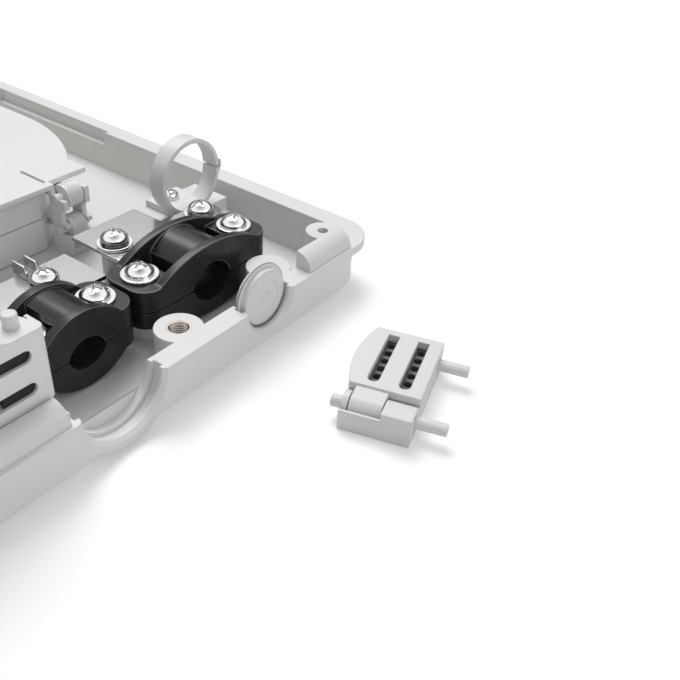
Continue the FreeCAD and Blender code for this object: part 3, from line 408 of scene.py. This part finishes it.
def drawn_line(name: str, points: list[Point]) -> bpy.types.Object:
    """Draws an open line of edges through points, given in millimetres.

    Args:
        name: The new object's name.
        points: The line's points.

    Returns:
        The object, in edit mode with all of it selected.
    """
    deselect()
    bpy.ops.mesh.primitive_plane_add(size=MM, location=(0, 0, 0))
    piece = bpy.context.object
    piece.name = name
    bpy.ops.object.mode_set(mode="EDIT")
    bpy.ops.mesh.select_all(action="SELECT")
    bpy.ops.mesh.merge(type="CENTER")
    bpy.ops.transform.translate(value=Vector(points[0]) * MM)
    for before, after in zip(points, points[1:]):
        step = (Vector(after) - Vector(before)) * MM
        bpy.ops.mesh.extrude_vertices_move(TRANSFORM_OT_translate={"value": step})
    bpy.ops.mesh.select_all(action="SELECT")
    return piece


def turned(name: str, profile: Profile, centre: Point, axis: str = "z",
           steps: int = 64) -> bpy.types.Object:
    """Turns a profile of radius and distance pairs about an axis.

    Args:
        name: The new object's name.
        profile: Radius, and distance along the axis, in millimetres, from one end to the other.
        centre: Where the distances start, in millimetres.
        axis: The letter of the axis.
        steps: Faces round the axis.

    Returns:
        The closed, smoothed object.
    """
    along = Vector([float(letter == axis) for letter in "xyz"])
    across = Vector((0.0, 0.0, 1.0)) if axis != "z" else Vector((1.0, 0.0, 0.0))
    start = Vector(centre)
    piece = drawn_line(name, [tuple(start + across * radius + along * far) for radius, far in profile])
    bpy.ops.mesh.spin(steps=steps, angle=math.tau, center=start * MM, axis=along)
    bpy.ops.mesh.select_all(action="SELECT")
    bpy.ops.mesh.remove_doubles(threshold=MERGE)
    bpy.ops.mesh.normals_make_consistent(inside=False)
    bpy.ops.object.mode_set(mode="OBJECT")
    bpy.ops.object.shade_smooth_by_angle(angle=TURNED_SMOOTH)
    return piece


@dataclass(frozen=True)
class PanScrew:
    """A pan head screw with a cross recess, made to the size of its node."""

    head_radius: float = 3.8
    shank_radius: float = 2.0
    head_height: float = 2.7
    rim: float = 0.75  # height of the head's upright edge
    rim_drop: float = 0.12  # roll from that edge to the dome, down
    rim_inset: float = 0.1  # and inwards
    head_bevel: float = 0.15
    tip_bevel: float = 0.5
    dome_steps: int = 8
    arm: float = 2.15  # reach of the cross from the axis
    arm_width: float = 0.95
    square: float = 1.7  # side of the square point of the recess
    recess: float = 1.7
    point: float = 0.1  # how much deeper the square point is
    rounding: float = 0.08

    def profile(self, seat: float, tip: float) -> Profile:
        """Draws half of the screw's outline.

        Args:
            seat: The level of the head's underside, in millimetres.
            tip: The level of the tip.

        Returns:
            The outline from the tip to the top of the dome.
        """
        dome = self.head_height - self.rim
        bend = (self.head_radius ** 2 + dome ** 2) / (2 * dome)
        line = [(0.0, tip), (self.shank_radius - self.tip_bevel, tip),
                (self.shank_radius, tip + self.tip_bevel), (self.shank_radius, seat),
                (self.head_radius - self.head_bevel, seat), (self.head_radius, seat + self.head_bevel),
                (self.head_radius, seat + self.rim - self.rim_drop)]
        reach = math.asin((self.head_radius - self.rim_inset) / bend)
        for step in range(self.dome_steps + 1):
            angle = reach * (1 - step / self.dome_steps)
            line.append((bend * math.sin(angle), seat + self.head_height - bend * (1 - math.cos(angle))))
        return line

    def cut(self, screw: bpy.types.Object, spot: Point, turn: float) -> None:
        """Cuts the cross recess, a square point under two arms.

        Args:
            screw: The turned screw.
            spot: The top of its dome, in millimetres.
            turn: How far the cross is turned, in radians.
        """
        x, y, top = spot
        arm = (self.arm, self.arm_width, self.recess)
        square = (self.square / 2, self.square, self.recess + self.point)
        tools = ((turn, arm), (turn + math.pi / 2, arm), (turn + math.pi / 4, square))
        for angle, (reach, width, depth) in tools:
            deselect()
            bpy.ops.mesh.primitive_cube_add(size=2 * MM, location=(x * MM, y * MM, top * MM),
                                            rotation=(0, 0, angle))
            tool = bpy.context.object
            bpy.ops.object.mode_set(mode="EDIT")
            bpy.ops.mesh.select_all(action="SELECT")
            bpy.ops.transform.resize(value=(reach, width / 2, depth), orient_type="LOCAL",
                                     center_override=(x * MM, y * MM, top * MM))
            bpy.ops.object.mode_set(mode="OBJECT")
            cut_away(screw, tool)

    def drive(self, node: str, spots: list[tuple[float, float]], turns: tuple[float, ...]) -> None:
        """Replaces a node of screws by modelled ones.

        Args:
            node: The frame's node.
            spots: The axes of its screws, in millimetres.
            turns: How far each cross is turned, in degrees.
        """
        low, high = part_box(node)
        tip, top = low[2] / MM, high[2] / MM
        made = []
        for number, ((x, y), turn) in enumerate(zip(spots, turns)):
            screw = turned(f"{node}_{number}", self.profile(top - self.head_height, tip), (x, y, 0.0))
            self.cut(screw, (x, y, top), math.radians(turn))
            rounding = screw.modifiers.new("rounding", "BEVEL")
            rounding.width = self.rounding * MM
            rounding.segments = 2
            rounding.limit_method = "ANGLE"
            rounding.angle_limit = HEAD_ROUNDED
            bpy.ops.object.modifier_apply(modifier=rounding.name)
            bpy.ops.object.shade_smooth_by_angle(angle=TURNED_SMOOTH)
            made.append(screw)
        alone(made[0])
        for screw in made[1:]:
            screw.select_set(True)
        if len(made) > 1:
            bpy.ops.object.join()
        made[0].name = node + "_turned"
        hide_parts(node)
        finished(made[0], Body.HOUSING, PLATED_STEEL)


def screw_spots(node: str, head_radius: float, falling: bool = False) -> list[tuple[float, float]]:
    """Reads the axes of one or two screws from their node's box.

    Args:
        node: The frame's node.
        head_radius: The heads' radius in millimetres.
        falling: Whether the right screw stands further forward than the left one.

    Returns:
        The axes in millimetres, left one first.
    """
    low, high = (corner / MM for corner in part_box(node))
    left, right = low.x + head_radius, high.x - head_radius
    near, far = low.y + head_radius, high.y - head_radius
    if right - left < head_radius:
        return [((left + right) / 2, (near + far) / 2)]
    return [(left, far), (right, near)] if falling else [(left, near), (right, far)]


@dataclass
class Housing:
    """The moulded base with its plug and threaded insert, in millimetres."""

    rounding: float = 0.45
    plug_setback: float = 0.7  # the plug's face behind the front of its node
    plug_flange: float = 1.3  # the plug's rim past its face
    plug_lip: float = 1.4  # from the face back to the rim
    plug_rear: float = 1.6  # from the rim back to the plug's end
    plug_edge: float = 0.3
    plug_roll: float = 0.35  # how far the face's edge rolls back
    ring: tuple[float, ...] = (1.4, 1.5, 1.7, 1.8)  # radii of the raised ring: foot, top, top, foot
    ring_rise: float = 0.12
    band: tuple[float, float] = (5.0, 5.1)  # radii of the raised band's inner slope
    band_margin: tuple[float, float] = (0.5, 0.15)  # its outer slope, from the face's edge
    band_rise: float = 0.15
    plug_steps: int = 96
    insert_radius: float = 3.0
    insert_mouth: float = 0.3  # chamfer at the insert's mouth
    thread_radius: float = 2.35
    thread_depth: float = 0.38
    thread_pitch: float = 0.7
    thread_flank: float = 0.3
    thread_start: float = 0.5  # first turn below the mouth
    thread_ends: float = 1.0  # length without turns

    def build(self) -> None:
        """Rounds the mouldings and cuts the insert's thread."""
        soften("base_shell", self.rounding, Body.HOUSING, HOUSING_ABS)
        self.plug()
        self.insert()

    def plug(self) -> None:
        """Turns the blank disc of the large entry, with a fine ring and a band raised on its face."""
        low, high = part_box("entry_plug")
        centre = ((low[0] + high[0]) / 2 / MM, 0.0, (low[2] + high[2]) / 2 / MM)
        front, back = low[1] / MM + self.plug_setback, high[1] / MM
        rim = (high[0] - low[0]) / 2 / MM
        face, edge = rim - self.plug_flange, self.plug_edge
        lip, rear = front + self.plug_lip, back - self.plug_rear
        ring, band = front - self.ring_rise, front - self.band_rise
        profile = [(0.0, front), *zip(self.ring, (front, ring, ring, front)),
                   (self.band[0], front), (self.band[1], band),
                   (face - self.band_margin[0], band), (face - self.band_margin[1], front),
                   (face, front + self.plug_roll), (face, lip), (rim - edge, lip), (rim, lip + edge),
                   (rim, rear - edge), (rim - edge, rear), (face, rear),
                   (face, back - edge), (face - edge, back), (0.0, back)]
        piece = turned("entry_plug_turned", profile, centre, axis="y", steps=self.plug_steps)
        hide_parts("entry_plug")
        finished(piece, Body.HOUSING, HOUSING_ABS)

    def insert(self) -> None:
        """Replaces the plain insert by one with the ridges of a thread inside."""
        low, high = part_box("lid_insert")
        centre = ((low[0] + high[0]) / 2 / MM, (low[1] + high[1]) / 2 / MM, 0.0)
        top, bottom = high[2] / MM, low[2] / MM
        profile = [(self.insert_radius, bottom), (self.insert_radius, top),
                   (self.thread_radius + self.insert_mouth, top),
                   (self.thread_radius, top - self.insert_mouth)]
        for number in range(int((top - bottom - self.thread_ends) / self.thread_pitch)):
            level = top - self.thread_start - number * self.thread_pitch
            profile += [(self.thread_radius, level),
                        (self.thread_radius - self.thread_depth, level - self.thread_flank),
                        (self.thread_radius, level - 2 * self.thread_flank)]
        profile += [(self.thread_radius, bottom), (self.insert_radius, bottom)]
        piece = turned("lid_insert_threaded", profile, centre)
        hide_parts("lid_insert")
        finished(piece, Body.HOUSING, THREAD)


@dataclass
class Clamps:
    """The two black cable clamps with their screws."""

    rounding: float = 0.32
    edge_break: float = 0.15  # rounding of the washers
    large_turns: tuple[float, float] = (24.0, 52.0)  # how the crosses are turned
    small_turns: tuple[float, float] = (10.0, 37.0)

    def build(self) -> None:
        """Rounds the halves and dresses the fasteners."""
        for size, turns in (("large", self.large_turns), ("small", self.small_turns)):
            for half in ("lower", "upper"):
                # The rounded edges get the lighter nylon, a painted highlight.
                soften(f"{size}_clamp_{half}", self.rounding, Body.HOUSING, BLACK_NYLON,
                       edge=NYLON_PAINTED_HIGHLIGHT)
            soften(f"{size}_clamp_washers", self.edge_break, Body.HOUSING, PLATED_STEEL)
            screw = PanScrew()
            node = f"{size}_clamp_screws"
            screw.drive(node, screw_spots(node, screw.head_radius), turns)
            dress(f"{size}_clamp_inserts", BRASS)


@dataclass
class Bonding:
    """The bright plates, the crimp terminal and their screws."""

    rounding: float = 0.15
    plate_turns: tuple[float, float] = (31.0, 66.0)  # how the crosses are turned
    terminal_turns: tuple[float] = (5.0,)
    strip_turns: tuple[float] = (48.0,)
    ring_turns: tuple[float] = (20.0,)

    def build(self) -> None:
        """Dresses the plates and the fasteners."""
        for node in ("bonding_plate_large", "bonding_plate_small", "crimp_terminal"):
            soften(node, self.rounding, Body.HOUSING, BRIGHT_PLATE, segments=1)
        screw = PanScrew()
        for node, turns in (("plate_screws", self.plate_turns), ("terminal_screw", self.terminal_turns),
                            ("strip_screw", self.strip_turns)):
            screw.drive(node, screw_spots(node, screw.head_radius, falling=True), turns)
        small = PanScrew(head_radius=2.6, shank_radius=1.57, arm=1.5, arm_width=0.7)
        small.drive("ring_screw", screw_spots("ring_screw", small.head_radius), self.ring_turns)
        soften("plate_washers", self.rounding, Body.HOUSING, PLATED_STEEL)
        for node in ("plate_lock_washers", "terminal_washer"):
            soften(node, self.rounding, Body.HOUSING, SPRING_STEEL)


@dataclass
class GuideRing:
    """The slit ring that leads cables to the trays."""

    rounding: float = 0.5

    def build(self) -> None:
        """Rounds the ring."""
        soften("guide_ring", self.rounding, Body.HOUSING, HOUSING_ABS)


@dataclass
class TrayStack:
    """The two splice trays, their holders, brackets and cover, in millimetres."""

    rounding: float = 0.4
    middle: float = 10.5  # the trays' middle line
    hinge_offset: float = 37.5  # from it to each knuckle
    hinge_y: float = -68.5
    upper_axis: float = 20.7
    lower_axis: float = 10.4
    knuckle_radius: float = 3.6
    rib_places: tuple[float, ...] = (-1.5, -0.5, 0.5, 1.5)  # along the knuckle
    rib_foot: float = 0.28  # half width at the knuckle
    rib_crest: float = 0.1  # half width at the top
    rib_height: float = 0.14
    rib_sunk: float = 0.1  # the ribs' feet below the knuckle's skin
    band_sunk: float = 0.4  # the band that carries them
    band_half: float = 1.78

    def build(self) -> None:
        """Rounds the trays, the brackets and the cover."""
        soften("splice_tray_lower", self.rounding, Body.HOUSING, TRAY_ABS)
        soften("splice_tray_upper", self.rounding, Body.UPPER_TRAY, TRAY_ABS)
        soften("tray_cover", self.rounding, Body.UPPER_TRAY, TRAY_ABS)
        soften("hinge_brackets", self.rounding / 2, Body.HOUSING, TRAY_ABS)
        dress("splice_holder_lower", TRAY_ABS)
        dress("splice_holder_upper", TRAY_ABS)
        for level, height, body in (("lower", self.lower_axis, Body.HOUSING),
                                    ("upper", self.upper_axis, Body.UPPER_TRAY)):
            for side, middle in (("left", -self.hinge_offset), ("right", self.hinge_offset)):
                self.ribs(f"{level}_{side}_knuckle_ribs", (self.middle + middle, self.hinge_y, height), body)

    def ribs(self, name: str, centre: Point, body: Body) -> None:
        """Raises fine ribs round a knuckle, across its axis.

        Args:
            name: The new piece's name.
            centre: The knuckle's middle, in millimetres.
            body: The body that it rides on.
        """
        foot, crest = self.knuckle_radius - self.rib_sunk, self.knuckle_radius + self.rib_height
        band = self.knuckle_radius - self.band_sunk
        profile = []
        for place in self.rib_places:
            profile += [(foot, place - self.rib_foot), (crest, place - self.rib_crest),
                        (crest, place + self.rib_crest), (foot, place + self.rib_foot)]
        profile += [(band, self.band_half), (band, -self.band_half), profile[0]]
        finished(turned(name, profile, centre, axis="x"), body, TRAY_ABS)


@dataclass
class PortModule:
    """A drop cable module: two slotted halves round a rubber seal, turning on a pin; in millimetres."""

    prefix: str
    door_body: Body
    rounding: float = 0.35
    longer_slots: bool = False  # whether the outer slots run on towards the hinge
    slot_levels: tuple[float, float] = (24.6, 32.6)
    slot_radius: float = 1.5
    slot_start: float = -23.4  # where the run starts and ends, across the entries
    slot_end: float = -15.6
    slot_depth: float = 1.05
    slot_steps: int = 48
    overrun: float = 1.0  # the cutting tools past the face
    lip_thick: float = 0.26
    lip_lift: float = 0.01  # the lip above the slot's floor
    lip_side: float = 0.02  # play beside the lip
    lip_end: float = 0.05  # play at its end
    corner: float = 1.5
    corner_steps: int = 6
    corner_reach: float = 0.02  # how near the corner an edge has to be

    def round_corner(self, back: bpy.types.Object) -> None:
        """Rounds the upright outer edge beside the hinge.

        Args:
            back: The copy of the module's outer half.
        """
        low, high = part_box(f"{self.prefix}_module_back")
        alone(back)
        bpy.ops.object.mode_set(mode="EDIT")
        bpy.ops.mesh.select_mode(type="EDGE")
        bpy.ops.mesh.select_all(action="DESELECT")
        bpy.ops.object.mode_set(mode="OBJECT")
        for edge in back.data.edges:
            ends = [back.data.vertices[number].co for number in edge.vertices]
            edge.select = all(math.hypot(end.x - high[0], end.y - low[1]) < self.corner_reach * MM
                              for end in ends)
        bpy.ops.object.mode_set(mode="EDIT")
        bpy.ops.mesh.bevel(offset=self.corner * MM, segments=self.corner_steps)
        bpy.ops.mesh.select_mode(type="VERT")
        bpy.ops.object.mode_set(mode="OBJECT")

    def lengthen(self, back: bpy.types.Object) -> None:
        """Cuts the outer slots on towards the hinge and lays a lip of the seal in them, coloured far darker
        than the seal rubber as painted shade of the deep slots.

        Args:
            back: The copy of the module's outer half.
        """
        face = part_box(f"{self.prefix}_module_back")[0][1] / MM
        outside, floor = face - self.overrun, face + self.slot_depth
        bend, radius = self.slot_end - self.slot_radius, self.slot_radius
        for number, level in enumerate(self.slot_levels):
            low, high = level - radius, level + radius
            cut_away(back, block("slot_run", (self.slot_start, outside, low), (bend, floor, high)))
            end = [(0.0, outside), (radius, outside), (radius, floor), (0.0, floor)]
            cut_away(back, turned("slot_turn", end, (bend, 0.0, level), axis="y", steps=self.slot_steps))
            under = floor - self.lip_lift - self.lip_thick
            # The lip is the seal's rubber with painted shade: near black, darker than the rest of the seal.
            lip = block(f"{self.prefix}_seal_lip_{number}", (self.slot_start, under, low + self.lip_side),
                        (self.slot_end - self.lip_end, floor - self.lip_lift, high - self.lip_side))
            finished(lip, Body.HOUSING, SEAL_LIP_PAINTED_SHADE)

    def build(self) -> None:
        """Rounds the halves and dresses the seal."""
        back = copied(f"{self.prefix}_module_back")
        if self.longer_slots:
            self.lengthen(back)
            self.round_corner(back)
        soften(f"{self.prefix}_module_back", self.rounding, Body.HOUSING, HOUSING_ABS,
               copy=back)
        soften(f"{self.prefix}_module_door", self.rounding, self.door_body, HOUSING_ABS)
        soften(f"{self.prefix}_module_pin", self.rounding, Body.HOUSING, HOUSING_ABS)
        dress(f"{self.prefix}_module_seal", RUBBER)


@dataclass(frozen=True)
class Lamp:
    """A soft square lamp, in metres and watts."""

    name: str
    spot: Point
    aim: Point
    size: float
    power: float

    def hang(self) -> None:
        """Hangs the lamp and turns it to its aim."""
        data = bpy.data.lights.new(self.name, "AREA")
        data.size = self.size
        data.energy = self.power
        lamp = bpy.data.objects.new(self.name, data)
        turn = (Vector(self.aim) - Vector(self.spot)).to_track_quat("-Z", "Y")
        lamp.matrix_world = Matrix.Translation(Vector(self.spot)) @ turn.to_matrix().to_4x4()
        bpy.context.scene.collection.objects.link(lamp)


@dataclass
class Studio:
    """The table, the lights and the camera, in metres."""

    spot: Point = (-0.08667, -0.25731, 0.13335)  # the camera's place and its three axes
    right: Point = (0.58766, -0.80672, 0.06207)
    up: Point = (0.44868, 0.38876, 0.80470)
    back: Point = (-0.67330, -0.44504, 0.59042)
    lens: float = 43.22
    sensor: float = 36.0
    nearest: float = 0.005
    table_reach: float = 3.0
    table_drop: float = 0.0002
    table_colour: Colour = (0.86, 0.86, 0.865)
    table_roughness: float = 0.6
    table_specular: float = 0.2
    glow_span: tuple[float, float] = (0.4, 1.8)  # distances over which the table's glow grows
    near_glow: float = 0.2
    far_glow: float = 0.75
    fill: float = 0.42
    fill_colour: Colour = (0.98, 0.99, 1.0)
    nadir: Colour = (0.35, 0.35, 0.36)  # what mirrors show from below to above
    bands: tuple[tuple[float, float], ...] = ((0.12, 0.05), (0.34, 0.07), (0.46, 1.15), (0.82, 1.15))
    zenith: Colour = (0.40, 0.40, 0.41)
    lamps: tuple[Lamp, ...] = (
        Lamp("overhead", (0.30, 0.25, 0.80), (0.0, -0.10, 0.0), size=0.55, power=5.7),
        Lamp("front_card", (0.10, -0.95, 0.45), (0.0, -0.14, 0.0), size=0.6, power=1.7),
    )

    def camera(self) -> None:
        """Stands the camera at the photograph's place."""
        data = bpy.data.cameras.new("camera")
        data.lens = self.lens
        data.sensor_width = self.sensor
        data.clip_start = self.nearest
        camera = bpy.data.objects.new("camera", data)
        turn = Matrix((self.right, self.up, self.back)).transposed().to_4x4()
        camera.matrix_world = Matrix.Translation(Vector(self.spot)) @ turn
        bpy.context.scene.collection.objects.link(camera)
        bpy.context.scene.camera = camera

    def table(self) -> None:
        """Lays the white table top, which glows a little where it is seen, and more far away."""
        bpy.ops.mesh.primitive_plane_add(size=2 * self.table_reach, location=(0, 0, -self.table_drop))
        table = bpy.context.object
        table.name = "table_top"
        material = bpy.data.materials.new("white_table")
        material.use_nodes = True
        tree = material.node_tree
        shader = tree.nodes["Principled BSDF"]
        shader.inputs["Base Color"].default_value = (*self.table_colour, 1.0)
        shader.inputs["Roughness"].default_value = self.table_roughness
        shader.inputs["Specular IOR Level"].default_value = self.table_specular
        place = add_node(tree, "TexCoord")
        distance = add_node(tree, "VectorMath")
        distance.operation = "LENGTH"
        tree.links.new(place.outputs["Object"], distance.inputs[0])
        glow = add_node(tree, "MapRange", From_Min=self.glow_span[0], From_Max=self.glow_span[1],
                        To_Min=self.near_glow, To_Max=self.far_glow)
        tree.links.new(distance.outputs["Value"], glow.inputs["Value"])
        lift = add_node(tree, "Emission")
        tree.links.new(glow.outputs["Result"], lift.inputs["Strength"])
        path = add_node(tree, "LightPath")
        shown = add_node(tree, "MixShader")
        added = add_node(tree, "AddShader")
        tree.links.new(shader.outputs[0], added.inputs[0])
        tree.links.new(lift.outputs[0], added.inputs[1])
        tree.links.new(path.outputs["Is Camera Ray"], shown.inputs[0])
        tree.links.new(shader.outputs[0], shown.inputs[1])
        tree.links.new(added.outputs[0], shown.inputs[2])
        tree.links.new(shown.outputs[0], tree.nodes["Material Output"].inputs["Surface"])
        table.data.materials.append(material)

    def mirrored(self, tree: bpy.types.NodeTree) -> bpy.types.Node:
        """Makes what mirrors show: a bright sky over a dark horizon.

        Args:
            tree: The world's nodes.

        Returns:
            The background node.
        """
        shown = add_node(tree, "Background", Strength=1.0)
        way = add_node(tree, "TexCoord")
        height = add_node(tree, "SeparateXYZ")
        tree.links.new(way.outputs["Generated"], height.inputs[0])
        bands = add_node(tree, "ValToRGB")
        first, last = bands.color_ramp.elements
        first.position, first.color = 0.0, (*self.nadir, 1.0)
        last.position, last.color = 1.0, (*self.zenith, 1.0)
        for position, shade in self.bands:
            bands.color_ramp.elements.new(position).color = (shade, shade, shade, 1.0)
        tree.links.new(height.outputs["Z"], bands.inputs[0])
        tree.links.new(bands.outputs["Color"], shown.inputs["Color"])
        return shown

    def world(self) -> None:
        """Makes the surroundings: white where seen, dim for light, with a sky of their own in mirrors."""
        world = bpy.data.worlds.new("surroundings")
        world.use_nodes = True
        bpy.context.scene.world = world
        tree = world.node_tree
        ground = tree.nodes["Background"]
        ground.inputs["Color"].default_value = (*self.fill_colour, 1.0)
        ground.inputs["Strength"].default_value = self.fill
        seen = add_node(tree, "Background", Strength=1.0)
        seen.inputs["Color"].default_value = (1.0, 1.0, 1.0, 1.0)
        path = add_node(tree, "LightPath")
        glossy = add_node(tree, "MixShader")
        mixed = add_node(tree, "MixShader")
        tree.links.new(path.outputs["Is Glossy Ray"], glossy.inputs[0])
        tree.links.new(ground.outputs[0], glossy.inputs[1])
        tree.links.new(self.mirrored(tree).outputs[0], glossy.inputs[2])
        tree.links.new(path.outputs["Is Camera Ray"], mixed.inputs[0])
        tree.links.new(glossy.outputs[0], mixed.inputs[1])
        tree.links.new(seen.outputs[0], mixed.inputs[2])
        tree.links.new(mixed.outputs[0], tree.nodes["World Output"].inputs["Surface"])

    def build(self) -> None:
        """Sets the whole stage."""
        self.camera()
        self.table()
        self.world()
        for lamp in self.lamps:
            lamp.hang()
        bpy.context.scene.view_settings.view_transform = "Standard"


def main() -> None:
    """Builds the stage and every sub-assembly, and logs each piece."""
    logging.basicConfig(level=logging.INFO, format="%(name)s: %(message)s")
    Studio().build()
    assemblies = [Housing(), Clamps(), Bonding(), GuideRing(), TrayStack(),
                  PortModule("fitted", Body.HOUSING, longer_slots=True), PortModule("loose", Body.LOOSE_DOOR)]
    for assembly in assemblies:
        assembly.build()


if __name__ == "__main__":
    main()
